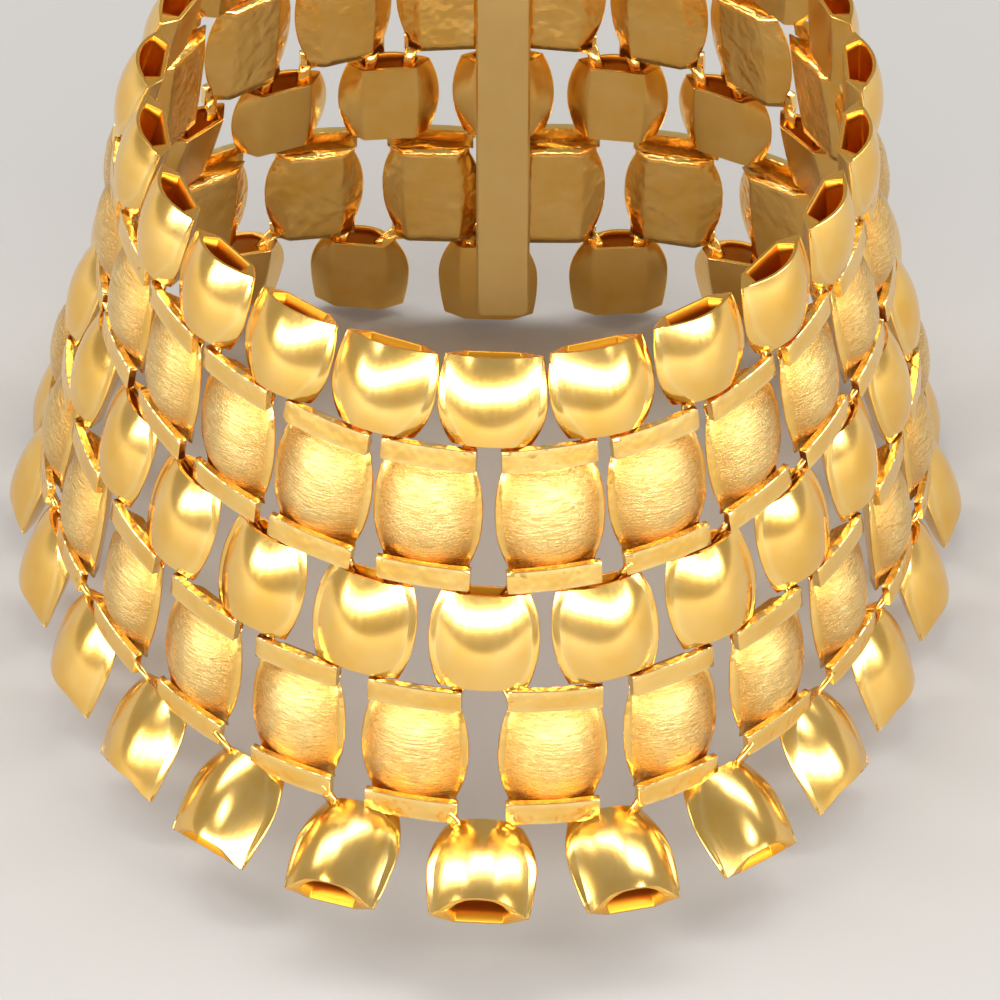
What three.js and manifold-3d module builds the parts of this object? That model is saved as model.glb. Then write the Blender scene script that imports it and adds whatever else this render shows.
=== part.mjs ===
// A five-row link collar of hollow metal links, held in the shape it takes on a neck.
// Rows of plain polished links alternate with rows of satin links that carry a bar at each end.
// Units are millimetres, +Z is up, -Y is the front, and the origin is the centre of the top row.
import * as THREE from "three";
import { mergeVertices } from "three/addons/utils/BufferGeometryUtils.js";
import Module from "manifold-3d";

const wasm = await Module();
wasm.setup();

// The loop, seen from above through the top row.
const columns = 22;
const loopHalfWidth = 58.4;
const loopFrontDepth = 67.8;
const loopBackDepth = 55.7;
const ringSteps = 360;

// The links. "Out" is measured from the bars' outer face, along the link's outward normal.
const satinBarrelLength = 16.3;
const barHeight = 3.7;
const barWidth = 14.5;
const barThickness = 1.3;
const satinLength = satinBarrelLength + 2 * barHeight;
const barSlope = 0.8;
const hingeGap = 0.8;

// A tongue runs from each bar into the open end of the polished link on its left.
const tongueWidth = 2;
const tongueThickness = 0.9;
const tongueReach = 2.8;
const tongueRootAcross = 6.1;
const tongueRootOut = -0.9;
const tongueTipOut = -4.2;

// The clasp is a plain plate behind the column at the back of the neck.
const claspColumn = columns / 2;
const claspWidth = 9;
const claspHeight = 88;
const claspThickness = 1.5;
const claspGap = 0.6;

// Lean is the angle in degrees by which a row's links tip outward at their lower end.
// Slip turns a whole row along the loop.
const rows = [
  {
    finish: "polished", length: 13.6, upper: "free", lower: "hinge",
    front: 30, right: 3, back: -6, left: 17, slip: -1.1,
  },
  {
    finish: "satin", length: satinLength,
    front: 15, right: 10, back: -5, left: 9, slip: -1.7,
  },
  {
    finish: "polished", length: 15.2, upper: "barrel", lower: "barrel",
    front: 25, right: 16, back: -4, left: 21, slip: -2.5,
  },
  {
    finish: "satin", length: satinLength,
    front: 12, right: 8, back: -3, left: 12, slip: -2.6,
  },
  {
    finish: "polished", length: 15.2, upper: "hinge", lower: "free",
    front: 78, right: 20, back: -2, left: 22, slip: -2.8,
  },
];

// Corners of the links' cross-sections, right-hand half, from the front face round to the back.
const polishedMiddle = [[4.4, 1.4], [8.25, -1.5], [4.6, -4.6]];
const polishedEnds = {
  free: {
    rim: [[4.4, 0.9], [7.3, -1.8], [4.4, -4.6]],
    hole: [[3.6, 0.2], [5.2, -1.5], [4.0, -3.9]],
  },
  hinge: {
    rim: [[2.2, 0.1], [5.5, -2.7], [4.3, -4.6]],
    hole: [[2.0, -0.3], [4.3, -2.2], [3.7, -3.9]],
  },
  barrel: {
    rim: [[4.0, 0.4], [6.6, -2.0], [4.3, -4.6]],
    hole: [[3.0, -0.3], [5.2, -1.9], [3.8, -3.9]],
  },
};
const satinSections = {
  middle: [[4.6, 1.4], [8.4, -1.3], [4.6, -4.6]],
  end: [[4.0, -0.2], [6.4, -1.8], [4.3, -4.6]],
  bar: [[barWidth / 2, 0], [barWidth / 2, -barThickness / 2], [barWidth / 2, -barThickness]],
};

const up = new THREE.Vector3(0, 0, 1);

// Distance from the line of hinges to a row's centre line, with its share of the hinge gap.
function halfStep(row) {
  return (row.length + hingeGap) / 2;
}

// Outward lean of a row at an angle round the loop, where 0 is the front and 90 degrees the right.
function leanAt(row, angle) {
  const side = Math.sin(angle) > 0 ? row.right : row.left;
  const end = Math.cos(angle) > 0 ? row.front : row.back;
  return THREE.MathUtils.degToRad(side + (end - side) * Math.cos(angle) ** 4);
}

// The axes of a link that runs along a loop: across it, up its length and outward.
function linkAxes(along, lean) {
  const outLevel = new THREE.Vector3().crossVectors(along, up).normalize();
  const upright = new THREE.Vector3().crossVectors(outLevel, along).normalize();
  const lengthwise = upright.clone().multiplyScalar(Math.cos(lean));
  lengthwise.addScaledVector(outLevel, -Math.sin(lean));
  const outward = outLevel.clone().multiplyScalar(Math.cos(lean));
  outward.addScaledVector(upright, Math.sin(lean));
  return { across: along.clone(), lengthwise, outward };
}

// Direction of the loop at one of its sample points.
function alongLoop(points, step) {
  const next = points[(step + 1) % ringSteps];
  const last = points[(step + ringSteps - 1) % ringSteps];
  return next.clone().sub(last).normalize();
}

function stepAngle(step) {
  return (step / ringSteps) * 2 * Math.PI;
}

// Every point of a loop moved down its own column, as a row's links lean there.
function moveDown(points, row, distance) {
  return points.map((point, step) => {
    const axes = linkAxes(alongLoop(points, step), leanAt(row, stepAngle(step)));
    return point.clone().addScaledVector(axes.lengthwise, -distance);
  });
}

// The centre line of each row. Each row hangs from the lower edge of the row above.
function makeLoops() {
  const top = Array.from({ length: ringSteps }, (_, step) => {
    const angle = stepAngle(step);
    const depth = Math.cos(angle) > 0 ? loopFrontDepth : loopBackDepth;
    return new THREE.Vector3(loopHalfWidth * Math.sin(angle), -depth * Math.cos(angle), 0);
  });
  const loops = [top];
  for (let i = 1; i < rows.length; i += 1) {
    const hinge = moveDown(loops[i - 1], rows[i - 1], halfStep(rows[i - 1]));
    loops.push(moveDown(hinge, rows[i], halfStep(rows[i])));
  }
  return loops;
}

// Place of a link on a row, as a matrix. Columns are counted from the front towards the right.
function linkPlace(loops, rowIndex, column) {
  const points = loops[rowIndex];
  const lengths = points.map((point, step) => point.distanceTo(points[(step + 1) % ringSteps]));
  const total = lengths.reduce((sum, length) => sum + length, 0);
  const wanted = (column / columns) * total + rows[rowIndex].slip;
  let left = ((wanted % total) + total) % total;
  let step = 0;
  while (left > lengths[step]) {
    left -= lengths[step];
    step += 1;
  }
  const next = (step + 1) % ringSteps;
  const share = left / lengths[step];
  const along = alongLoop(points, step).lerp(alongLoop(points, next), share).normalize();
  const axes = linkAxes(along, leanAt(rows[rowIndex], stepAngle(step + share)));
  const place = new THREE.Matrix4().makeBasis(axes.across, axes.lengthwise, axes.outward);
  return place.setPosition(points[step].clone().lerp(points[next], share));
}

// A manifold-3d solid from a closed three.js geometry.
function solidOf(geometry) {
  const bare = geometry.clone();
  bare.deleteAttribute("normal");
  bare.deleteAttribute("uv");
  const merged = mergeVertices(bare, 1e-4);
  const mesh = new wasm.Mesh({
    numProp: 3,
    vertProperties: Float32Array.from(merged.attributes.position.array),
    triVerts: Uint32Array.from(merged.index.array),
  });
  return new wasm.Manifold(mesh);
}

// A three.js geometry from a manifold-3d solid.
function geometryOf(solid) {
  const mesh = solid.getMesh();
  const geometry = new THREE.BufferGeometry();
  geometry.setAttribute("position", new THREE.BufferAttribute(mesh.vertProperties, 3));
  geometry.setIndex(new THREE.BufferAttribute(mesh.triVerts, 1));
  geometry.computeVertexNormals();
  return geometry;
}

// A closed section of a link at a height, counter-clockwise as seen from its upper end.
function sectionAt(height, corners) {
  const left = corners.map(([across, out]) => [-across, out]).reverse();
  return [...corners, ...left].map(([across, out]) => new THREE.Vector3(across, height, out));
}

// Triangles that join each section to the next one, as index triples.
function skinTriangles(sections, closed) {
  const count = sections[0].length;
  const triangles = [];
  for (let k = 0; k < (closed ? sections.length : sections.length - 1); k += 1) {
    const lower = k * count;
    const upper = ((k + 1) % sections.length) * count;
    for (let i = 0; i < count; i += 1) {
      const j = (i + 1) % count;
      triangles.push(lower + i, lower + j, upper + j);
      triangles.push(lower + i, upper + j, upper + i);
    }
  }
  return triangles;
}

// Triangles over both ends of a solid link.
function endTriangles(sections) {
  const count = sections[0].length;
  const top = (sections.length - 1) * count;
  const triangles = [];
  for (let i = 1; i < count - 1; i += 1) {
    triangles.push(0, i + 1, i);
    triangles.push(top, top + i, top + i + 1);
  }
  return triangles;
}

function geometryFrom(sections, triangles) {
  const geometry = new THREE.BufferGeometry().setFromPoints(sections.flat());
  geometry.setIndex(triangles);
  return geometry;
}

// A polished link: a barrel-shaped tube, open at both ends.
function polishedLink(row) {
  const half = row.length / 2;
  const upper = polishedEnds[row.upper];
  const lower = polishedEnds[row.lower];
  const sections = [
    sectionAt(-half, lower.rim),
    sectionAt(0, polishedMiddle),
    sectionAt(half, upper.rim),
    sectionAt(half, upper.hole),
    sectionAt(-half, lower.hole),
  ];
  return geometryFrom(sections, skinTriangles(sections, true));
}

// A satin link: a closed barrel with a flat bar across each end.
function satinLink() {
  const barEnd = satinLength / 2;
  const barRoot = satinBarrelLength / 2;
  const barrelEnd = barRoot - barSlope;
  const sections = [
    sectionAt(-barEnd, satinSections.bar),
    sectionAt(-barRoot, satinSections.bar),
    sectionAt(-barrelEnd, satinSections.end),
    sectionAt(0, satinSections.middle),
    sectionAt(barrelEnd, satinSections.end),
    sectionAt(barRoot, satinSections.bar),
    sectionAt(barEnd, satinSections.bar),
  ];
  return geometryFrom(sections, [...skinTriangles(sections, false), ...endTriangles(sections)]);
}

// The tongue at one end of a satin link, soldered inside the polished link on its left.
function tongue(loops, rowIndex, column, end) {
  const satin = linkPlace(loops, rowIndex, column + 0.5);
  const polished = linkPlace(loops, rowIndex - end, column);
  const rootHeight = (end * (satinLength - barHeight)) / 2;
  const root = new THREE.Vector3(-tongueRootAcross, rootHeight, tongueRootOut).applyMatrix4(satin);
  const tipHeight = -end * (rows[rowIndex - end].length / 2 - tongueReach);
  const tip = new THREE.Vector3(0, tipHeight, tongueTipOut).applyMatrix4(polished);
  const across = new THREE.Vector3().setFromMatrixColumn(satin, 0);
  const lengthwise = tip.clone().sub(root).normalize();
  const outward = new THREE.Vector3().crossVectors(across, lengthwise).normalize();
  const side = new THREE.Vector3().crossVectors(lengthwise, outward);
  const place = new THREE.Matrix4().makeBasis(side, lengthwise, outward);
  place.setPosition(root.clone().add(tip).multiplyScalar(0.5));
  const strip = new THREE.BoxGeometry(tongueWidth, root.distanceTo(tip), tongueThickness);
  return strip.applyMatrix4(place);
}

// One column: a polished link in every other row, and the satin link to the right of each pair.
function linkColumn(loops, column) {
  const pieces = rows.flatMap((row, rowIndex) => {
    if (row.finish === "polished") {
      return [polishedLink(row).applyMatrix4(linkPlace(loops, rowIndex, column))];
    }
    const satin = satinLink().applyMatrix4(linkPlace(loops, rowIndex, column + 0.5));
    return [satin, tongue(loops, rowIndex, column, 1), tongue(loops, rowIndex, column, -1)];
  });
  return geometryOf(pieces.map(solidOf).reduce((sum, solid) => sum.add(solid)));
}

function claspPlate(loops) {
  const middleRow = (rows.length - 1) / 2;
  const [, backOut] = polishedMiddle.at(-1);
  const plate = new THREE.BoxGeometry(claspWidth, claspHeight, claspThickness);
  plate.translate(0, 0, backOut - claspGap - claspThickness / 2);
  return plate.applyMatrix4(linkPlace(loops, middleRow, claspColumn));
}

function metal(colour, roughness) {
  return new THREE.MeshStandardMaterial({ color: colour, metalness: 1, roughness });
}

function addMesh(group, name, geometry, material) {
  const mesh = new THREE.Mesh(geometry, material);
  mesh.name = name;
  group.add(mesh);
}

const loops = makeLoops();
const collar = new THREE.Group();
for (let column = 0; column < columns; column += 1) {
  const number = String(column + 1).padStart(2, "0");
  addMesh(collar, `link_column_${number}`, linkColumn(loops, column), metal(0xe3b04b, 0.2));
}
addMesh(collar, "clasp", claspPlate(loops), metal(0xd9a441, 0.3));

export default collar;
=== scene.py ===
import math
import bpy
from mathutils import Matrix, Vector


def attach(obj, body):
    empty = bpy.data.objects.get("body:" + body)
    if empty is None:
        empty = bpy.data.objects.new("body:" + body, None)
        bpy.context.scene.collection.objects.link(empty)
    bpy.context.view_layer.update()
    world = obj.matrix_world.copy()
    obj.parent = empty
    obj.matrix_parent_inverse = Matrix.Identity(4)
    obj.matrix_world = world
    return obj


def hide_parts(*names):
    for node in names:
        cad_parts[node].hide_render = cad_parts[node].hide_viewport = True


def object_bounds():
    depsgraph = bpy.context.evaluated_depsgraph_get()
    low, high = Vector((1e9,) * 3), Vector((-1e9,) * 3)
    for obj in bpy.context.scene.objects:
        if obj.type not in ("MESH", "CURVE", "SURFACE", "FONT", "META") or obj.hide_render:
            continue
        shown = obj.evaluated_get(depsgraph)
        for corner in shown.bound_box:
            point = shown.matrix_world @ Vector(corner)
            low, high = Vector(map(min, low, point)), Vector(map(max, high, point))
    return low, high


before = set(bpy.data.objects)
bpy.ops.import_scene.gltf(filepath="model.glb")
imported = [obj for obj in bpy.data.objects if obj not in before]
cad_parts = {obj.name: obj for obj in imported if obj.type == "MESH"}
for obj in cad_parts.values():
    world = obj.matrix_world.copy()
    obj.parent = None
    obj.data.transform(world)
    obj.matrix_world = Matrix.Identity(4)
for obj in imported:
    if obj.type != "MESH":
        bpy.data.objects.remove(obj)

cadLow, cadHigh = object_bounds()
columnNodes = sorted(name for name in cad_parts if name.startswith("link_column"))
print("frame loaded:", len(columnNodes), "link columns")

mm = 0.001
up = Vector((0, 0, 1))

# the loop that every row hangs on, in millimetres

collar = {
    "columns": 22,
    "halfWidth": 58.4,
    "frontDepth": 67.8,
    "backDepth": 55.7,
    "steps": 360,
    "hingeGap": 0.8,
    "claspColumn": 11,
    "sway": (1.0, 2.4, 2.2),  # degrees that a link may nod, swing and roll on its hinges
    "leanPower": 4,  # how soon the lean at the front or back gives way to the lean at the sides
    "spread": 0.045,  # share of a link's step that the satin links hang apart at the front
    "spreadFade": 2,  # links over which that dies away
    "seed": 7,
}

# front, right, back and left are how far the lower end of a link leans out, in degrees;
# slip is how far a row is shifted round its loop
rows = [
    {"piece": "polishedTopRow", "shape": "crestLink", "length": 13.6,
     "front": 30, "right": 3, "back": -6, "left": 17, "slip": -1.1},
    {"piece": "satinUpperRow", "shape": "satinLink", "length": 23.7,
     "front": 15, "right": 10, "back": -5, "left": 9, "slip": -1.7},
    {"piece": "polishedMiddleRow", "shape": "barrelLink", "length": 15.2,
     "front": 25, "right": 16, "back": -4, "left": 21, "slip": -2.5},
    {"piece": "satinLowerRow", "shape": "satinLink", "length": 23.7,
     "front": 12, "right": 8, "back": -3, "left": 12, "slip": -2.6},
    {"piece": "polishedBottomRow", "shape": "hemLink", "length": 15.2,
     "front": 78, "right": 20, "back": -2, "left": 22, "slip": -2.8},
]
hemTuck = 1.2  # how far the bottom row rises between the bars above it


def isSatin(row):
    return row["shape"] == "satinLink"


def halfStep(row):
    return (row["length"] + collar["hingeGap"]) / 2


def leanAt(row, angle):
    side = row["right"] if math.sin(angle) > 0 else row["left"]
    end = row["front"] if math.cos(angle) > 0 else row["back"]
    return math.radians(side + (end - side) * math.cos(angle) ** collar["leanPower"])


def linkAxes(along, lean):
    outLevel = along.cross(up).normalized()
    upright = outLevel.cross(along).normalized()
    lengthwise = upright * math.cos(lean) - outLevel * math.sin(lean)
    outward = outLevel * math.cos(lean) + upright * math.sin(lean)
    return along, lengthwise, outward


def alongLoop(points, step):
    steps = collar["steps"]
    return (points[(step + 1) % steps] - points[(step - 1) % steps]).normalized()


def stepAngle(step):
    return step / collar["steps"] * 2 * math.pi


def moveDown(points, row, distance):
    moved = []
    for step, point in enumerate(points):
        lengthwise = linkAxes(alongLoop(points, step), leanAt(row, stepAngle(step)))[1]
        moved.append(point - lengthwise * distance)
    return moved


def makeLoops():
    top = []
    for step in range(collar["steps"]):
        angle = stepAngle(step)
        depth = collar["frontDepth"] if math.cos(angle) > 0 else collar["backDepth"]
        top.append(Vector((collar["halfWidth"] * math.sin(angle), -depth * math.cos(angle), 0)))
    made = [top]
    for above, row in zip(rows, rows[1:]):
        hinge = moveDown(made[-1], above, halfStep(above))
        tuck = hemTuck if row["shape"] == "hemLink" else 0
        made.append(moveDown(hinge, row, halfStep(row) - tuck))
    return made


loops = makeLoops()


def linkPlace(rowIndex, column):
    points = loops[rowIndex]
    steps = collar["steps"]
    lengths = [(points[(step + 1) % steps] - points[step]).length for step in range(steps)]
    if isSatin(rows[rowIndex]):
        halfway = collar["columns"] / 2
        fromFront = (column + halfway) % collar["columns"] - halfway
        spread = collar["spread"] * math.exp(-abs(fromFront) / collar["spreadFade"])
        column += math.copysign(spread, fromFront)
    left = (column / collar["columns"] * sum(lengths) + rows[rowIndex]["slip"]) % sum(lengths)
    step = 0
    while left > lengths[step]:
        left -= lengths[step]
        step += 1
    after = (step + 1) % steps
    share = left / lengths[step]
    along = alongLoop(points, step).lerp(alongLoop(points, after), share).normalized()
    axes = linkAxes(along, leanAt(rows[rowIndex], stepAngle(step + share)))
    return placeFrom(axes, points[step].lerp(points[after], share))


def placeFrom(axes, origin):
    place = Matrix.Identity(4)
    for k, axis in enumerate(axes):
        place.col[k] = (*axis, 0)
    place.col[3] = (*origin, 1)
    return place


# meshes made of rings, with marks that the materials read

def mix(low, high, share):
    return low + (high - low) * share


def mixPoint(low, high, share):
    return tuple(mix(a, b, share) for a, b in zip(low, high))


def wholeRing(half):
    return half + [(-across, out) for across, out in reversed(half[1:-1])]


def newShell():
    return {"points": [], "faces": [], "inside": [], "satin": [], "edge": [], "crease": []}


def addRing(shell, points, inside=0.0, satin=None, edge=None, crease=None):
    count = len(points)
    shell["points"] += points
    shell["inside"] += [inside] * count
    shell["satin"] += satin or [0.0] * count
    shell["edge"] += edge or [0.0] * count
    shell["crease"] += crease or [0] * count
    return len(shell["points"]) - count


def joinRings(shell, lower, upper, count):
    for i in range(count):
        j = (i + 1) % count
        shell["faces"].append((lower + i, lower + j, upper + j, upper + i))


def capRing(shell, first, count, facesUp):
    ring = list(range(first, first + count))
    shell["faces"].append(ring if facesUp else ring[::-1])


def closeShell(shell, firsts, count):
    for lower, upper in zip(firsts, firsts[1:]):
        joinRings(shell, lower, upper, count)
    capRing(shell, firsts[0], count, False)
    capRing(shell, firsts[-1], count, True)


def meshFrom(name, shell):
    mesh = bpy.data.meshes.new(name)
    mesh.from_pydata([[c * mm for c in point] for point in shell["points"]], [], shell["faces"])
    mesh.shade_smooth()
    linkPoint = mesh.attributes.new("linkPoint", "FLOAT_VECTOR", "POINT")
    linkPoint.data.foreach_set("vector", [c for point in shell["points"] for c in point])
    for mark in ("inside", "satin", "edge"):
        mesh.attributes.new(mark, "FLOAT", "POINT").data.foreach_set("value", shell[mark])
    crease = shell["crease"]
    sharp = [crease[a] > 0 and crease[a] == crease[b] for a, b in (e.vertices for e in mesh.edges)]
    mesh.attributes.new("sharp_edge", "BOOLEAN", "EDGE").data.foreach_set("value", sharp)
    mesh.validate()
    return mesh


def newObject(name, mesh):
    made = bpy.data.objects.new(name, mesh)
    bpy.context.scene.collection.objects.link(made)
    return made


# polished links: hollow tubes with a domed front panel and bevelled flanks

# a half section: crown and radius shape the front panel, and panel, flank and back are how far
# across its corners lie; the panel narrows toward an end by that end's panelPower
polishedLink = {
    "middle": {"crown": 1.5, "radius": 9.0, "panel": 7.1, "flank": 8.5, "flankOut": -2.0, "back": 4.6,
               "holeFront": 4.6, "hole": 6.6, "holeOut": -1.9, "holeBack": 4.1},
    "crest": {"crown": 0.4, "radius": 9.0, "panel": 7.0, "flank": 7.5, "flankOut": -2.55, "back": 4.4,
              "holeFront": 3.4, "hole": 4.9, "holeOut": -1.6, "holeBack": 3.9},
    "lip": {"crown": 0.8, "radius": 8.3, "panel": 7.2, "flank": 7.8, "flankOut": -2.65, "back": 4.0,
            "holeFront": 3.4, "hole": 4.6, "holeOut": -1.5, "holeBack": 3.6},
    "hinge": {"crown": 0.3, "radius": 9.0, "panel": 3.5, "flank": 6.2, "flankOut": -2.5, "back": 4.3,
              "holeFront": 2.2, "hole": 4.0, "holeOut": -2.1, "holeBack": 3.7},
    "barrel": {"crown": 0.15, "radius": 9.0, "panel": 4.7, "flank": 7.0, "flankOut": -2.1, "back": 4.3,
               "holeFront": 3.0, "hole": 4.9, "holeOut": -1.8, "holeBack": 3.8},
    "panelPower": {"crest": 2.0, "lip": 2.0, "hinge": 1.6, "barrel": 3.0},
    "backOut": -4.6,
    "bevelSwell": (0.08, 0.05),
    "flankRound": 0.45,
    "flankTurnPoints": 5,
    "backRound": 0.3,
    "backTurnPoints": 3,
    "wallAt": (0.35, 0.7),  # where the points between flank and back lie
    "wall": 0.6,
    "rim": 0.05,
    "rimRings": ((0.14, 0.25), (0.85, 0.7)),  # share of the way in, and how much painted inside shade and inside roughness that gets
    "holeTurn": 0.97,  # where the turn of a hole's corner starts and ends
    "scoopFade": 1.9,  # depth below the front at which the scoop ends
    "creaseWearAndHighlight": 0.6,  # how much pale wear and painted highlight the crease gets, up to 1
    "arcPoints": 9,
    "upperSidePoints": 4,
    "lowerSidePoints": 6,
    "rings": 19,
    "innerEvery": 3,  # the hole has a ring for every third of the outside's
}
crestLink = {"upper": "crest", "lower": "hinge", "wider": -0.05, "upperReach": 0.0, "scoop": 0.0}
barrelLink = {"upper": "barrel", "lower": "barrel", "wider": 0.15, "upperReach": 0.0, "scoop": 0.0}
hemLink = {"upper": "hinge", "lower": "lip", "wider": 0.15, "upperReach": 0.5, "scoop": 1.3}


def sizesAt(link, height):
    endName = link["upper"] if height > 0 else link["lower"]
    share = abs(height)
    sizes = {}
    for key, middle in polishedLink["middle"].items():
        power = polishedLink["panelPower"][endName] if key == "panel" else 2.0
        sizes[key] = mix(middle, polishedLink[endName][key], share ** power)
    for key in ("panel", "flank"):
        sizes[key] += link["wider"] * (1 - share ** 2)
    return sizes


def roundedCorner(before, corner, after, radius, count):
    # points of a short curve that takes the corner off between its two neighbours
    start = mixPoint(corner, before, radius / math.dist(corner, before))
    stop = mixPoint(corner, after, radius / math.dist(corner, after))
    made = []
    for k in range(count):
        share = k / (count - 1)
        made.append(mixPoint(mixPoint(start, corner, share), mixPoint(corner, stop, share), share))
    return made


def outerHalf(sizes, backOut):
    # front centre round to back centre; the crease is the last point of the panel
    count = polishedLink["arcPoints"]
    panel = []
    for k in range(count + 1):
        across = sizes["panel"] * k / count
        panel.append((across, sizes["crown"] - across ** 2 / (2 * sizes["radius"])))
    creasePoint = panel[-1]
    flank = (sizes["flank"], sizes["flankOut"])
    back = (sizes["back"], backOut)
    bulge = mixPoint(creasePoint, flank, 0.5)
    swellAcross, swellOut = polishedLink["bevelSwell"]
    bevel = [mixPoint(creasePoint, bulge, 0.5), (bulge[0] + swellAcross, bulge[1] + swellOut)]
    flankTurn = roundedCorner(
        bevel[-1], flank, back, polishedLink["flankRound"], polishedLink["flankTurnPoints"])
    wall = [mixPoint(flankTurn[-1], back, share) for share in polishedLink["wallAt"]]
    backTurn = roundedCorner(
        wall[-1], back, (0, backOut), polishedLink["backRound"], polishedLink["backTurnPoints"])
    floor = [(back[0] * 0.5, backOut), (0, backOut)]
    return panel + bevel + flankTurn + wall + backTurn + floor


def innerHalf(sizes, backOut):
    count = polishedLink["arcPoints"]
    wall = polishedLink["wall"]
    front = []
    for k in range(count + 1):
        across = sizes["holeFront"] * k / count
        front.append((across, sizes["crown"] - wall - across ** 2 / (2 * sizes["radius"])))
    side = (sizes["hole"], sizes["holeOut"])
    corner = (sizes["holeBack"], backOut + wall)
    upperCount, lowerCount = polishedLink["upperSidePoints"], polishedLink["lowerSidePoints"]
    upperSide = [mixPoint(front[-1], side, k / upperCount) for k in range(1, upperCount)]
    lowerSide = [mixPoint(side, corner, k / lowerCount) for k in range(lowerCount)]
    near = polishedLink["holeTurn"]
    turn = [mixPoint(side, corner, near), corner, (corner[0] * near, corner[1])]
    floor = [(corner[0] * 0.5, corner[1]), (0, corner[1])]
    return front + upperSide + lowerSide + turn + floor


def makePolishedLink(name, link, length):
    half = length / 2
    reach = link["upperReach"]
    backOut = polishedLink["backOut"]
    rim = polishedLink["rim"]
    creaseIndex = polishedLink["arcPoints"]
    shell = newShell()
    firsts = []

    def place(ring, height):
        # the upper end may reach further up between the bars, the lower lip may be scooped in front
        raised = height + reach * max(height / half, 0) ** 2
        scoop = link["scoop"] * max(-height / half, 0) ** 3
        fade = polishedLink["scoopFade"]
        placed = []
        for across, out in ring:
            front = min(max((out + fade) / fade, 0), 1)
            placed.append((across, raised + scoop * front, out))
        return placed

    def outerMarks(count):
        crease = [0] * count
        edge = [0.0] * count
        crease[creaseIndex], crease[count - creaseIndex] = 1, 2
        # the creases get pale wear and a painted highlight
        edge[creaseIndex] = edge[count - creaseIndex] = polishedLink["creaseWearAndHighlight"]
        return edge, crease

    heights = [-1 + 2 * k / (polishedLink["rings"] - 1) for k in range(polishedLink["rings"])]
    for height in heights:
        ring = wholeRing(outerHalf(sizesAt(link, height), backOut))
        edge, crease = outerMarks(len(ring))
        if height in (heights[0], heights[-1]):
            crease = [7] * len(ring)
        firsts.append(addRing(shell, place(ring, height * (half - rim)), edge=edge, crease=crease))
    count = len(ring)

    def addRim(end, firstCrease):
        sizes = sizesAt(link, end)
        outer = wholeRing(outerHalf(sizes, backOut))
        inner = wholeRing(innerHalf(sizes, backOut))
        for k, (share, depth) in enumerate(polishedLink["rimRings"][::end]):
            ring = [mixPoint(a, b, share) for a, b in zip(outer, inner)]
            crease = [firstCrease + k] * count
            firsts.append(addRing(shell, place(ring, end * half), inside=depth, crease=crease))

    # the rings run up the outside, over the upper rim, down the hole and round the lower rim
    addRim(1, 3)
    for height in heights[::-polishedLink["innerEvery"]]:
        ring = wholeRing(innerHalf(sizesAt(link, height), backOut))
        firsts.append(addRing(shell, place(ring, height * (half - rim)), inside=1.0))
    addRim(-1, 5)
    for lower, upper in zip(firsts, firsts[1:] + firsts[:1]):
        joinRings(shell, lower, upper, count)
    return meshFrom(name, shell)


# satin links: a brushed barrel with polished flanks, and a bar across each end

satinLink = {
    "barrelLength": 16.8,
    "underBar": 1.4,
    "crownUnderBar": 0.3,  # above the underside of the bar that is soldered over it
    "flankUnderBar": 0.4,
    "satinFade": (0.7, 0.3),  # how satin the crease and the point beside it are
    "middle": {"crown": 1.5, "radius": 8.6, "panel": 7.2, "flank": 8.6, "flankOut": -2.4, "back": 4.6},
    "end": {"crown": -1.1, "radius": 9.5, "panel": 5.4, "flank": 6.9, "flankOut": -2.6, "back": 4.3},
    "power": {"crown": 2.8, "radius": 2.0, "panel": 2.6, "flank": 2.2, "flankOut": 2.0, "back": 2.0},
    "backOut": -4.6,
    "rings": 19,
}
endBar = {
    "width": 14.5,
    "height": 3.7,
    "thickness": 1.3,
    "bow": 0.5,
    "crown": 0.03,
    "chamfer": 0.1,
    # how much pale wear and painted highlight the bar's rear side corners get; the front corners and
    # the ends get all of it
    "sideWearAndHighlight": 0.4,
    "stations": 11,
}


def addBarrel(shell):
    half = satinLink["barrelLength"] / 2
    creaseIndex = polishedLink["arcPoints"]
    firsts = []
    last = satinLink["rings"] - 1
    levels = [-1 + 2 * k / last for k in range(last + 1)]
    heights = [-half - satinLink["underBar"]] + [level * half for level in levels]
    heights.append(half + satinLink["underBar"])
    for height in heights:
        share = min(abs(height) / half, 1.0)
        sizes = {}
        for key, middle in satinLink["middle"].items():
            sizes[key] = mix(middle, satinLink["end"][key], share ** satinLink["power"][key])
        if abs(height) > half:
            sizes["crown"] = -endBar["thickness"] + satinLink["crownUnderBar"]
            sizes["flankOut"] -= satinLink["flankUnderBar"]
        ring = wholeRing(outerHalf(sizes, satinLink["backOut"]))
        count = len(ring)
        satin = [1.0 if min(i, count - i) < creaseIndex else 0.0 for i in range(count)]
        for k, fade in enumerate(satinLink["satinFade"]):
            satin[creaseIndex + k] = satin[count - creaseIndex - k] = fade
        points = [(across, height, out) for across, out in ring]
        firsts.append(addRing(shell, points, satin=satin))
    closeShell(shell, firsts, count)


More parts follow.
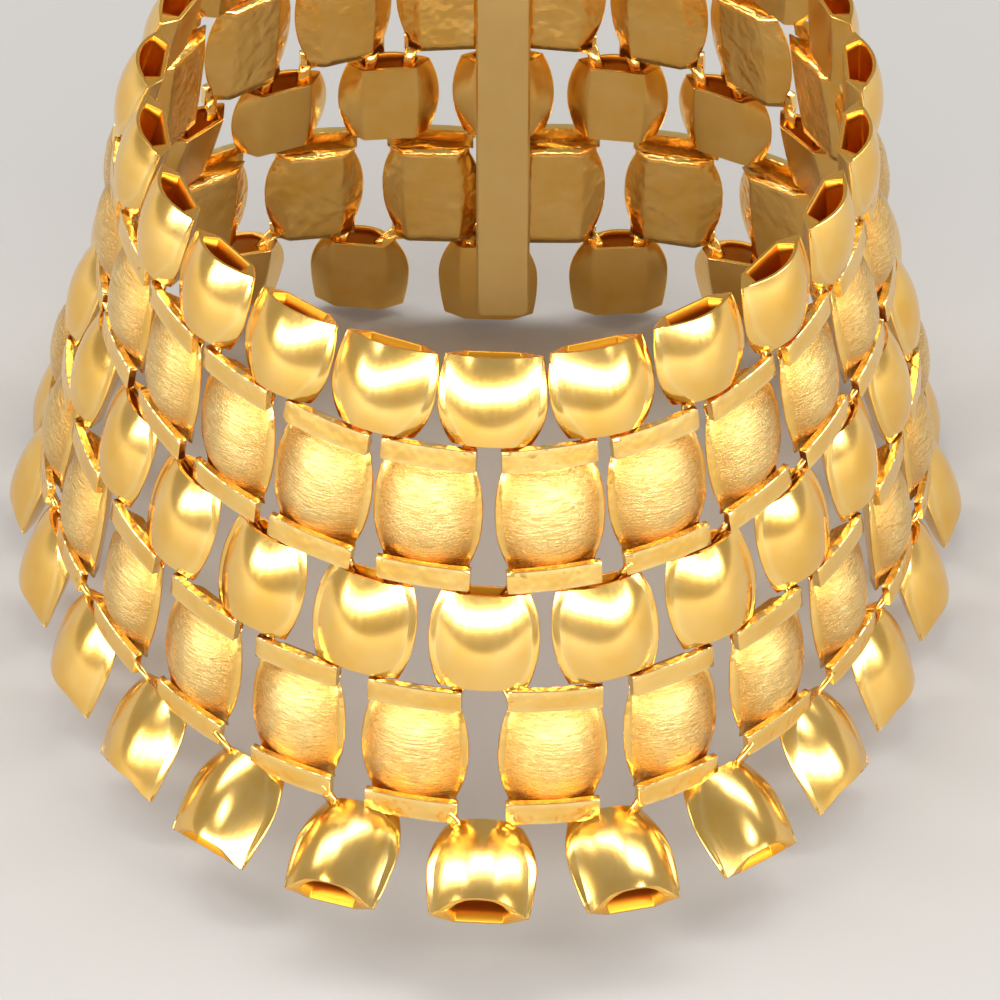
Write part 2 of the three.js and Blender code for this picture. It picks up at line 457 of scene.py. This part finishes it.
def addBar(shell, middle, creaseBase):
    high = endBar["height"] / 2
    thick = endBar["thickness"]
    chamfer = endBar["chamfer"]
    crown = endBar["crown"]
    barSideWearAndHighlight = endBar["sideWearAndHighlight"]
    half = endBar["width"] / 2
    section = [
        (high - chamfer, 0), (0.5 * high, crown), (-0.5 * high, crown), (-high + chamfer, 0),
        (-high, -chamfer), (-high, -thick + chamfer), (-high + chamfer, -thick),
        (high - chamfer, -thick), (high, -thick + chamfer), (high, -chamfer),
    ]
    count = len(section)
    # all corners are creases but the two points on the crowned front
    creaseIds = [0 if k in (1, 2) else creaseBase + max(k - 2, 0) for k in range(count)]
    # pale wear and painted highlight on the bar's corners
    wearAndEdgeHighlight = [1.0, 0.0, 0.0, 1.0, 1.0, barSideWearAndHighlight, 0.0, 0.0, barSideWearAndHighlight, 1.0]
    firsts = []

    def addStation(across, shrink, ids):
        drop = endBar["bow"] * (across / half) ** 2
        centre = -thick / 2
        points = []
        for level, out in section:
            level = math.copysign(max(abs(level) - shrink, 0), level)
            out = centre + (out - centre) * (1 - shrink / (thick / 2))
            points.append((across, middle + level, out - drop))
        edge = wearAndEdgeHighlight if ids is creaseIds else [1.0] * count
        firsts.append(addRing(shell, points, edge=edge, crease=ids))

    stations = endBar["stations"]
    addStation(-half, chamfer, [creaseBase + 8] * count)
    for k in range(stations):
        across = -half + chamfer + (2 * half - 2 * chamfer) * k / (stations - 1)
        addStation(across, 0, creaseIds)
    addStation(half, chamfer, [creaseBase + 9] * count)
    closeShell(shell, firsts, count)


def barMiddle():
    return (satinLink["barrelLength"] + endBar["height"]) / 2


def makeSatinLink(name):
    shell = newShell()
    addBarrel(shell)
    # the two bars' creases only need different numbers
    addBar(shell, barMiddle(), 10)
    addBar(shell, -barMiddle(), 30)
    return meshFrom(name, shell)


# tongues: flat strips that carry the bars on the polished links

tongue = {
    "width": 2.0,
    "thickness": 0.9,
    "reach": 1.0,
    "rootAcross": 5.8,
    "rootOut": -0.9,
    "tipAcross": 3.1,
    "tipOut": -3.0,
    "length": 10.0,
    "chamfer": 0.2,
    "endShrink": 0.75,
}


def makeTongue(name):
    wide = tongue["width"] / 2
    thick = tongue["thickness"] / 2
    chamfer = tongue["chamfer"]
    half = tongue["length"] / 2
    shrink = tongue["endShrink"]
    section = [
        (0, thick), (wide - chamfer, thick), (wide, thick - chamfer), (wide, -thick + chamfer),
        (wide - chamfer, -thick), (0, -thick),
    ]
    shell = newShell()
    firsts = []
    levels = ((-half, shrink), (-half + chamfer, 1.0), (half - chamfer, 1.0), (half, shrink))
    for height, size in levels:
        ring = wholeRing([(across * size, out * size) for across, out in section])
        firsts.append(addRing(shell, [(across, height, out) for across, out in ring]))
    closeShell(shell, firsts, len(ring))
    return meshFrom(name, shell)


def tonguePlace(rowIndex, column, end, side):
    # side -1 holds the polished link on the satin link's left, side 1 the one on its right
    satin = linkPlace(rowIndex, column + 0.5)
    polished = linkPlace(rowIndex - end, column + (1 if side > 0 else 0))
    root = satin @ Vector((side * tongue["rootAcross"], end * barMiddle(), tongue["rootOut"]))
    tipHeight = -end * (rows[rowIndex - end]["length"] / 2 - tongue["reach"])
    tip = polished @ Vector((-side * tongue["tipAcross"], tipHeight, tongue["tipOut"]))
    lengthwise = (tip - root).normalized()
    outward = satin.col[0].to_3d().cross(lengthwise).normalized()
    across = lengthwise.cross(outward)
    stretch = (tip - root).length / tongue["length"]
    return placeFrom((across, lengthwise, outward), (root + tip) / 2), stretch


# gold finishes

def newFinish(name):
    made = bpy.data.materials.new(name)
    made.use_nodes = True
    made.node_tree.nodes.clear()
    return made


def addNode(tree, kind, **settings):
    node = tree.nodes.new(kind)
    for key, value in settings.items():
        setattr(node, key, value)
    return node


def readMark(tree, name):
    return addNode(tree, "ShaderNodeAttribute", attribute_type="GEOMETRY", attribute_name=name)


noiseShift = 37.0  # how far apart the first and the last link lie in a noise


def stretchedNoise(tree, scale, detail, roughness=0.55):
    # a noise that is stretched along the link's own axes and differs from link to link
    place = readMark(tree, "linkPoint")
    seed = readMark(tree, "linkSeed")
    mapping = addNode(tree, "ShaderNodeMapping")
    mapping.inputs["Scale"].default_value = scale
    tree.links.new(place.outputs["Vector"], mapping.inputs["Vector"])
    shift = addNode(tree, "ShaderNodeMath", operation="MULTIPLY")
    shift.inputs[1].default_value = noiseShift
    tree.links.new(seed.outputs["Fac"], shift.inputs[0])
    noise = addNode(tree, "ShaderNodeTexNoise", noise_dimensions="4D")
    noise.inputs["Scale"].default_value = 1.0
    noise.inputs["Detail"].default_value = detail
    noise.inputs["Roughness"].default_value = roughness
    tree.links.new(mapping.outputs["Vector"], noise.inputs["Vector"])
    tree.links.new(shift.outputs[0], noise.inputs["W"])
    return noise.outputs["Fac"]


def ranged(tree, value, fromLow, fromHigh, toLow, toHigh):
    node = addNode(tree, "ShaderNodeMapRange")
    node.inputs["From Min"].default_value = fromLow
    node.inputs["From Max"].default_value = fromHigh
    node.inputs["To Min"].default_value = toLow
    node.inputs["To Max"].default_value = toHigh
    tree.links.new(value, node.inputs["Value"])
    return node.outputs["Result"]


def mixValue(tree, share, low, high):
    node = addNode(tree, "ShaderNodeMix", data_type="FLOAT")
    tree.links.new(share, node.inputs[0])
    for socket, value in ((node.inputs[2], low), (node.inputs[3], high)):
        if isinstance(value, (int, float)):
            socket.default_value = value
        else:
            tree.links.new(value, socket)
    return node.outputs[0]


def mixColour(tree, share, low, high):
    node = addNode(tree, "ShaderNodeMix", data_type="RGBA")
    tree.links.new(share, node.inputs[0])
    for socket, value in ((node.inputs[6], low), (node.inputs[7], high)):
        if isinstance(value, tuple):
            socket.default_value = (*value, 1)
        else:
            tree.links.new(value, socket)
    return node.outputs[2]


def addBump(tree, height, strength, distance, under=None):
    node = addNode(tree, "ShaderNodeBump")
    node.inputs["Strength"].default_value = strength
    node.inputs["Distance"].default_value = distance
    tree.links.new(height, node.inputs["Height"])
    if under is not None:
        tree.links.new(under, node.inputs["Normal"])
    return node.outputs["Normal"]


goldTone = {
    "body": (0.95, 0.62, 0.19),
    "deep": (0.90, 0.53, 0.11),
    # deep orange painted inside the holes as shade and reflection in the hollow
    "inside": (0.86, 0.38, 0.03),
    # a paler gold: real wear where the satin grain is rubbed, and a painted highlight along creases
    # and edges
    "wearAndEdgeHighlight": (1.0, 0.77, 0.34),
    "satin": (0.72, 0.41, 0.10),
    # darker orange painted toward a satin barrel's sides and ends, as shade
    "satinSideShade": (0.60, 0.29, 0.05),
    "cloud": {"scale": (0.16, 0.16, 0.16), "detail": 2.0},
    "cloudRange": (0.35, 0.7),
    "edgeWearAndHighlight": 0.6,
}


def goldColour(tree):
    cloud = stretchedNoise(tree, **goldTone["cloud"])
    cloud = ranged(tree, cloud, *goldTone["cloudRange"], 0.0, 1.0)
    tone = mixColour(tree, cloud, goldTone["body"], goldTone["deep"])
    # the inside of each hole is painted deep orange, as shade and reflection
    tone = mixColour(tree, readMark(tree, "inside").outputs["Fac"], tone, goldTone["inside"])
    # the marked creases and edges turn paler, as a painted highlight with wear
    wearAndEdgeHighlight = ranged(tree, readMark(tree, "edge").outputs["Fac"], 0.0, 1.0, 0.0, goldTone["edgeWearAndHighlight"])
    return mixColour(tree, wearAndEdgeHighlight, tone, goldTone["wearAndEdgeHighlight"])


def finishTree(made, colour, roughness, normal):
    tree = made.node_tree
    shader = addNode(tree, "ShaderNodeBsdfPrincipled")
    shader.inputs["Metallic"].default_value = 1.0
    output = addNode(tree, "ShaderNodeOutputMaterial")
    tree.links.new(colour, shader.inputs["Base Color"])
    tree.links.new(roughness, shader.inputs["Roughness"])
    tree.links.new(normal, shader.inputs["Normal"])
    tree.links.new(shader.outputs[0], output.inputs["Surface"])
    return made


# a noise's scale is per millimetre; a bump is its strength and its depth in metres
polishedFinish = {
    "streak": {"scale": (5.0, 0.22, 5.0), "detail": 4.0},
    "wave": {"scale": (0.22, 0.16, 0.22), "detail": 1.0},
    "streakRange": (0.3, 0.75),
    "roughness": (0.16, 0.22),
    "insideRoughness": 0.34,
    "waveBump": (0.05, 0.00020),
    "streakBump": (0.08, 0.00001),
}


def makePolishedGold():
    made = newFinish("polishedGold")
    tree = made.node_tree
    finish = polishedFinish
    streak = stretchedNoise(tree, **finish["streak"])
    wave = stretchedNoise(tree, **finish["wave"])
    inside = readMark(tree, "inside").outputs["Fac"]
    shine = ranged(tree, streak, *finish["streakRange"], *finish["roughness"])
    shine = mixValue(tree, inside, shine, finish["insideRoughness"])
    normal = addBump(tree, wave, *finish["waveBump"])
    normal = addBump(tree, streak, *finish["streakBump"], normal)
    return finishTree(made, goldColour(tree), shine, normal)


satinFinish = {
    "grain": {"scale": (0.38, 3.6, 1.3), "detail": 5.0, "roughness": 0.65},
    "sand": {"scale": (2.4, 4.6, 2.4), "detail": 4.0, "roughness": 0.7},
    "wave": {"scale": (0.3, 0.3, 0.3), "detail": 1.0},
    "streak": {"scale": (0.4, 4.5, 4.5), "detail": 3.0},
    "dents": {"scale": (0.5, 0.4, 0.4), "detail": 1.0},
    "grainRange": (0.3, 0.7),
    "brushedRoughness": (0.32, 0.18),
    "streakRange": (0.3, 0.75),
    "barRoughness": (0.15, 0.28),
    "waveBump": (0.4, 0.00016),
    "dentBump": (0.8, 0.0004),
    "grainBump": (0.7, 0.00017),
    "sandBump": (0.75, 0.00014),
    "streakBump": (0.3, 0.00002),
    "level": 0.5,  # the height that gives no bump
    "rubbedRange": (0.36, 0.62),
    "rubbed": 0.8,
    # painted shade toward a satin barrel's sides and ends
    "sideAt": (8.0, 9.6),  # across and lengthwise from a link's middle
    "sideRange": (0.5, 1.05),
    "sideShadeAmount": 0.9,
}


def paintedSideShade(tree):
    # painted shade: 0 over the middle of a satin barrel, rising to its sides and ends
    across, lengthwise = satinFinish["sideAt"]
    spot = addNode(tree, "ShaderNodeVectorMath", operation="MULTIPLY")
    spot.inputs[1].default_value = (1 / across, 1 / lengthwise, 0)
    tree.links.new(readMark(tree, "linkPoint").outputs["Vector"], spot.inputs[0])
    distance = addNode(tree, "ShaderNodeVectorMath", operation="LENGTH")
    tree.links.new(spot.outputs[0], distance.inputs[0])
    sideRange, sideShadeAmount = satinFinish["sideRange"], satinFinish["sideShadeAmount"]
    return ranged(tree, distance.outputs["Value"], *sideRange, 0.0, sideShadeAmount)


def makeSatinGold():
    made = newFinish("satinGold")
    tree = made.node_tree
    finish = satinFinish
    level = finish["level"]
    satin = readMark(tree, "satin").outputs["Fac"]
    grain = stretchedNoise(tree, **finish["grain"])
    sand = stretchedNoise(tree, **finish["sand"])
    wave = stretchedNoise(tree, **finish["wave"])
    streak = stretchedNoise(tree, **finish["streak"])
    dents = stretchedNoise(tree, **finish["dents"])
    brushed = ranged(tree, grain, *finish["grainRange"], *finish["brushedRoughness"])
    polished = ranged(tree, streak, *finish["streakRange"], *finish["barRoughness"])
    shine = mixValue(tree, satin, polished, brushed)
    normal = addBump(tree, wave, *finish["waveBump"])
    normal = addBump(tree, mixValue(tree, satin, dents, level), *finish["dentBump"], normal)
    normal = addBump(tree, mixValue(tree, satin, level, grain), *finish["grainBump"], normal)
    normal = addBump(tree, mixValue(tree, satin, level, sand), *finish["sandBump"], normal)
    normal = addBump(tree, streak, *finish["streakBump"], normal)
    rubbed = ranged(tree, grain, *finish["rubbedRange"], 0.0, finish["rubbed"])
    brushedTone = mixColour(tree, rubbed, goldTone["satin"], goldTone["wearAndEdgeHighlight"])
    # painted shade: the barrel turns darker orange toward its sides and ends
    brushedTone = mixColour(tree, paintedSideShade(tree), brushedTone, goldTone["satinSideShade"])
    tone = mixColour(tree, satin, goldColour(tree), brushedTone)
    return finishTree(made, tone, shine, normal)


polishedGold = makePolishedGold()
satinGold = makeSatinGold()
print("finishes made")

# the tree that hangs a link on every point of a row

treeInputs = {}


def makeHangTree():
    tree = bpy.data.node_groups.new("hangLinks", "GeometryNodeTree")
    face = tree.interface
    face.new_socket("Row points", in_out="INPUT", socket_type="NodeSocketGeometry")
    for label, kind in (("Link shape", "NodeSocketObject"), ("Sway", "NodeSocketVector"),
                        ("Seed", "NodeSocketInt"), ("Finish", "NodeSocketMaterial")):
        treeInputs[label] = face.new_socket(label, in_out="INPUT", socket_type=kind).identifier
    face.new_socket("Links", in_out="OUTPUT", socket_type="NodeSocketGeometry")
    start = tree.nodes.new("NodeGroupInput")
    stop = tree.nodes.new("NodeGroupOutput")

    def mark(name):
        node = addNode(tree, "GeometryNodeInputNamedAttribute", data_type="FLOAT_VECTOR")
        node.inputs["Name"].default_value = name
        return node.outputs["Attribute"]

    axes = addNode(tree, "FunctionNodeAxesToRotation", primary_axis="X", secondary_axis="Y")
    tree.links.new(mark("across"), axes.inputs[0])
    tree.links.new(mark("lengthwise"), axes.inputs[1])
    loose = addNode(tree, "FunctionNodeRandomValue", data_type="FLOAT_VECTOR")
    loose.inputs[0].default_value = (-1, -1, -1)
    loose.inputs[1].default_value = (1, 1, 1)
    tree.links.new(start.outputs["Seed"], loose.inputs["Seed"])
    sway = addNode(tree, "ShaderNodeVectorMath", operation="MULTIPLY")
    tree.links.new(loose.outputs[0], sway.inputs[0])
    tree.links.new(start.outputs["Sway"], sway.inputs[1])
    swayTurn = addNode(tree, "FunctionNodeEulerToRotation")
    tree.links.new(sway.outputs[0], swayTurn.inputs[0])
    turn = addNode(tree, "FunctionNodeRotateRotation", rotation_space="LOCAL")
    tree.links.new(axes.outputs[0], turn.inputs[0])
    tree.links.new(swayTurn.outputs[0], turn.inputs[1])
    shape = addNode(tree, "GeometryNodeObjectInfo", transform_space="ORIGINAL")
    tree.links.new(start.outputs["Link shape"], shape.inputs["Object"])
    hang = tree.nodes.new("GeometryNodeInstanceOnPoints")
    tree.links.new(start.outputs["Row points"], hang.inputs["Points"])
    tree.links.new(shape.outputs["Geometry"], hang.inputs["Instance"])
    tree.links.new(turn.outputs[0], hang.inputs["Rotation"])
    tree.links.new(mark("stretch"), hang.inputs["Scale"])
    number = addNode(tree, "FunctionNodeRandomValue", data_type="FLOAT")
    tree.links.new(start.outputs["Seed"], number.inputs["Seed"])
    keep = addNode(tree, "GeometryNodeStoreNamedAttribute", data_type="FLOAT", domain="INSTANCE")
    keep.inputs["Name"].default_value = "linkSeed"
    tree.links.new(hang.outputs[0], keep.inputs["Geometry"])
    tree.links.new(number.outputs[1], keep.inputs["Value"])
    real = tree.nodes.new("GeometryNodeRealizeInstances")
    tree.links.new(keep.outputs[0], real.inputs[0])
    paint = tree.nodes.new("GeometryNodeSetMaterial")
    tree.links.new(real.outputs[0], paint.inputs["Geometry"])
    tree.links.new(start.outputs["Finish"], paint.inputs["Material"])
    tree.links.new(paint.outputs[0], stop.inputs[0])
    return tree


hangTree = makeHangTree()


def pointsFrom(name, places, stretches):
    mesh = bpy.data.meshes.new(name)
    mesh.from_pydata([place.translation * mm for place in places], [], [])
    marks = {
        "across": [c for place in places for c in place.col[0].to_3d()],
        "lengthwise": [c for place in places for c in place.col[1].to_3d()],
        "stretch": [c for stretch in stretches for c in (1, stretch, 1)],
    }
    for key, values in marks.items():
        mesh.attributes.new(key, "FLOAT_VECTOR", "POINT").data.foreach_set("vector", values)
    return newObject(name, mesh)


def settle(piece):
    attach(piece, "root")
    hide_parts(*columnNodes)


def hangLinks(name, places, linkObject, finish, sway, seed, stretches=None):
    piece = pointsFrom(name, places, stretches or [1] * len(places))
    modifier = piece.modifiers.new("hang", "NODES")
    modifier.node_group = hangTree
    modifier[treeInputs["Link shape"]] = linkObject
    modifier[treeInputs["Sway"]] = [math.radians(angle) for angle in sway]
    modifier[treeInputs["Seed"]] = seed
    modifier[treeInputs["Finish"]] = finish
    depsgraph = bpy.context.evaluated_depsgraph_get()
    evaluated = piece.evaluated_get(depsgraph)
    solid = bpy.data.meshes.new_from_object(
        evaluated, preserve_all_data_layers=True, depsgraph=depsgraph)
    piece.modifiers.clear()
    piece.data = solid
    solid.name = name
    settle(piece)
    print(name, "has", sum(len(p.vertices) - 2 for p in solid.polygons), "triangles")


polishedShapes = {"crestLink": crestLink, "barrelLink": barrelLink, "hemLink": hemLink}
shapes = {
    "satinLink": newObject("satinLinkShape", makeSatinLink("satinLinkShape")),
    "tongue": newObject("tongueShape", makeTongue("tongueShape")),
}
for row in rows:
    if not isSatin(row):
        name = row["shape"] + "Shape"
        mesh = makePolishedLink(name, polishedShapes[row["shape"]], row["length"])
        shapes[row["shape"]] = newObject(name, mesh)

for rowIndex, row in enumerate(rows):
    shift = 0.5 if isSatin(row) else 0  # satin links hang between two polished ones
    places = [linkPlace(rowIndex, column + shift) for column in range(collar["columns"])]
    finish = satinGold if isSatin(row) else polishedGold
    seed = collar["seed"] + rowIndex
    hangLinks(row["piece"], places, shapes[row["shape"]], finish, collar["sway"], seed)

tongues = []
for rowIndex, row in enumerate(rows):
    if isSatin(row):
        for column in range(collar["columns"]):
            for end in (1, -1):
                for side in (1, -1):
                    tongues.append(tonguePlace(rowIndex, column, end, side))
tonguePlaces = [place for place, stretch in tongues]
tongueStretches = [stretch for place, stretch in tongues]
noSway = (0, 0, 0)
hangLinks("tongues", tonguePlaces, shapes["tongue"], polishedGold, noSway, collar["seed"],
          tongueStretches)

for shape in shapes.values():
    bpy.data.objects.remove(shape)
print("rows hung")

# the plate that stands for the clasp at the back of the neck

claspPlate = {
    "width": 9.0,
    "height": 88.0,
    "thickness": 1.5,
    "gap": 0.6,
    "corner": 1.2,
    "cornerSteps": 5,
    "edge": 0.35,
    # how much pale wear and painted highlight the plate's side walls get; its faces and chamfers get
    # all of it
    "faceWearAndHighlight": 0.5,
}


def roundedOutline(width, height, corner, steps):
    outline = []
    for k, (signX, signY) in enumerate(((1, 1), (-1, 1), (-1, -1), (1, -1))):
        centre = (signX * (width / 2 - corner), signY * (height / 2 - corner))
        for step in range(steps + 1):
            angle = math.radians(90 * (k + step / steps))
            outline.append((centre[0] + corner * math.cos(angle),
                            centre[1] + corner * math.sin(angle)))
    return outline


def makeClaspPlate():
    middleOut = polishedLink["backOut"] - claspPlate["gap"] - claspPlate["thickness"] / 2
    half = claspPlate["thickness"] / 2
    edge = claspPlate["edge"]
    outline = roundedOutline(claspPlate["width"], claspPlate["height"], claspPlate["corner"],
                             claspPlate["cornerSteps"])
    shell = newShell()
    firsts = []
    for level, inset in ((-half, edge), (-half + edge, 0), (half - edge, 0), (half, edge)):
        scaleX = 1 - 2 * inset / claspPlate["width"]
        scaleY = 1 - 2 * inset / claspPlate["height"]
        ring = [(x * scaleX, y * scaleY, middleOut + level) for x, y in outline]
        creaseId = len(firsts) + 1
        # pale wear and painted highlight over the plate
        wearAndEdgeHighlight = [1.0 if inset else claspPlate["faceWearAndHighlight"]] * len(ring)
        firsts.append(addRing(shell, ring, edge=wearAndEdgeHighlight, crease=[creaseId] * len(ring)))
    closeShell(shell, firsts, len(outline))
    return meshFrom("claspPlate", shell)


claspPlace = linkPlace((len(rows) - 1) // 2, collar["claspColumn"])
claspPlace.translation *= mm
claspMesh = makeClaspPlate()
claspMesh.transform(claspPlace)
claspMesh.materials.append(polishedGold)
clasp = newObject("claspPlate", claspMesh)
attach(clasp, "root")
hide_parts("clasp")
print("clasp made")

# floor, light and camera, in metres

studio = {
    "floorDrop": 0.001,
    "floorSize": 6.0,
    # the floor is painted darker near the collar and paler far off: painted shade round the collar
    # that also darkens its reflection in the gold
    "floorNear": (0.38, 0.37, 0.36),
    "floorFar": (0.85, 0.83, 0.80),
    "floorFade": (0.25, 1.4),  # distances at which the far colour starts and is full
    "floorRoughness": 0.7,
    "skyLow": (0.46, 0.43, 0.39),
    "skyHigh": (0.38, 0.37, 0.35),
    "skyFade": (0.02, 0.45),  # heights at which the high colour starts and is full
    "skyStrength": 1.0,
    "wattsPerGlow": 4,  # for each square metre of a softbox
    "target": (0, -0.024, -0.0622),
    "elevation": 44,
    "distance": 0.96,
    "viewAngle": 9.53,
    "sensor": 36,
    "clip": (0.01, 20),
}
# a curved bank of softboxes in front, lower and dimmer toward the sides, angles in degrees
frontBank = {
    "name": "frontSoftbox",
    "count": 11,
    "apart": 14,
    "frontHeight": 27,
    "sideHeight": 12,
    "away": 1.15,
    "wide": 0.285,
    "tall": 0.22,
    "frontGlow": 9.0,
    "sideGlow": 7.0,
}
# each other softbox stands at a turn round the collar and at a height above it, past 90 from behind
softboxes = [
    {"name": "sideLeftSoftbox", "turn": -65, "height": 42,
     "away": 1.15, "wide": 0.34, "tall": 0.16, "glow": 7.0},
    {"name": "sideRightSoftbox", "turn": 65, "height": 42,
     "away": 1.15, "wide": 0.34, "tall": 0.16, "glow": 7.0},
    {"name": "topSoftbox", "turn": 0, "height": 104,
     "away": 1.10, "wide": 0.80, "tall": 0.20, "glow": 7.5},
    {"name": "topLeftSoftbox", "turn": -112, "height": 46,
     "away": 1.10, "wide": 0.22, "tall": 0.76, "glow": 6.5},
    {"name": "topRightSoftbox", "turn": 112, "height": 46,
     "away": 1.10, "wide": 0.22, "tall": 0.76, "glow": 6.5},
]


def makeFloor():
    size = studio["floorSize"] / 2
    level = cadLow.z - studio["floorDrop"]
    mesh = bpy.data.meshes.new("floor")
    corners = [(-size, -size, level), (size, -size, level), (size, size, level), (-size, size, level)]
    mesh.from_pydata(corners, [], [(0, 1, 2, 3)])
    paper = newFinish("paleFloor")
    tree = paper.node_tree
    place = addNode(tree, "ShaderNodeTexCoord")
    distance = addNode(tree, "ShaderNodeVectorMath", operation="LENGTH")
    tree.links.new(place.outputs["Object"], distance.inputs[0])
    fade = ranged(tree, distance.outputs["Value"], *studio["floorFade"], 0.0, 1.0)
    shader = addNode(tree, "ShaderNodeBsdfPrincipled")
    floorColour = mixColour(tree, fade, studio["floorNear"], studio["floorFar"])
    tree.links.new(floorColour, shader.inputs["Base Color"])
    shader.inputs["Roughness"].default_value = studio["floorRoughness"]
    output = addNode(tree, "ShaderNodeOutputMaterial")
    tree.links.new(shader.outputs[0], output.inputs["Surface"])
    mesh.materials.append(paper)
    floor = newObject("floor", mesh)


def addSoftbox(box):
    turn = math.radians(box["turn"])
    height = math.radians(box["height"])
    level = math.cos(height)
    aim = Vector((math.sin(turn) * level, -math.cos(turn) * level, math.sin(height)))
    light = bpy.data.lights.new(box["name"], "AREA")
    light.shape = "RECTANGLE"
    light.size, light.size_y = box["wide"], box["tall"]
    light.energy = studio["wattsPerGlow"] * box["glow"] * box["wide"] * box["tall"]
    lamp = bpy.data.objects.new(box["name"], light)
    lamp.location = Vector(studio["target"]) + aim * box["away"]
    lamp.rotation_mode = "QUATERNION"
    lamp.rotation_quaternion = (-aim).to_track_quat("-Z", "Y")
    bpy.context.scene.collection.objects.link(lamp)


def bankBoxes():
    boxes = []
    for k in range(frontBank["count"]):
        turn = (k - (frontBank["count"] - 1) / 2) * frontBank["apart"]
        share = math.cos(math.radians(turn)) ** 2
        boxes.append({
            **frontBank,
            "turn": turn,
            "height": mix(frontBank["sideHeight"], frontBank["frontHeight"], share),
            "glow": mix(frontBank["sideGlow"], frontBank["frontGlow"], share),
        })
    return boxes


def makeSky():
    # a little paler near the horizon than above
    world = bpy.data.worlds.new("studio")
    world.use_nodes = True
    tree = world.node_tree
    background = tree.nodes["Background"]
    background.inputs["Strength"].default_value = studio["skyStrength"]
    place = addNode(tree, "ShaderNodeTexCoord")
    parts = addNode(tree, "ShaderNodeSeparateXYZ")
    tree.links.new(place.outputs["Generated"], parts.inputs[0])
    rise = ranged(tree, parts.outputs["Z"], *studio["skyFade"], 0.0, 1.0)
    skyColour = mixColour(tree, rise, studio["skyLow"], studio["skyHigh"])
    tree.links.new(skyColour, background.inputs["Color"])
    bpy.context.scene.world = world


makeFloor()
makeSky()
for box in bankBoxes() + softboxes:
    addSoftbox(box)
bpy.context.scene.view_settings.view_transform = "Standard"

target = Vector(studio["target"])
tilt = math.radians(studio["elevation"])
camera = bpy.data.objects.new("camera", bpy.data.cameras.new("camera"))
camera.data.sensor_width = studio["sensor"]
camera.data.lens = studio["sensor"] / 2 / math.tan(math.radians(studio["viewAngle"] / 2))
camera.location = target + studio["distance"] * Vector((0, -math.cos(tilt), math.sin(tilt)))
camera.rotation_mode = "QUATERNION"
camera.rotation_quaternion = (target - camera.location).to_track_quat("-Z", "Y")
camera.data.clip_start, camera.data.clip_end = studio["clip"]
bpy.context.scene.collection.objects.link(camera)
bpy.context.scene.camera = camera
print("studio set")

bpy.context.view_layer.update()
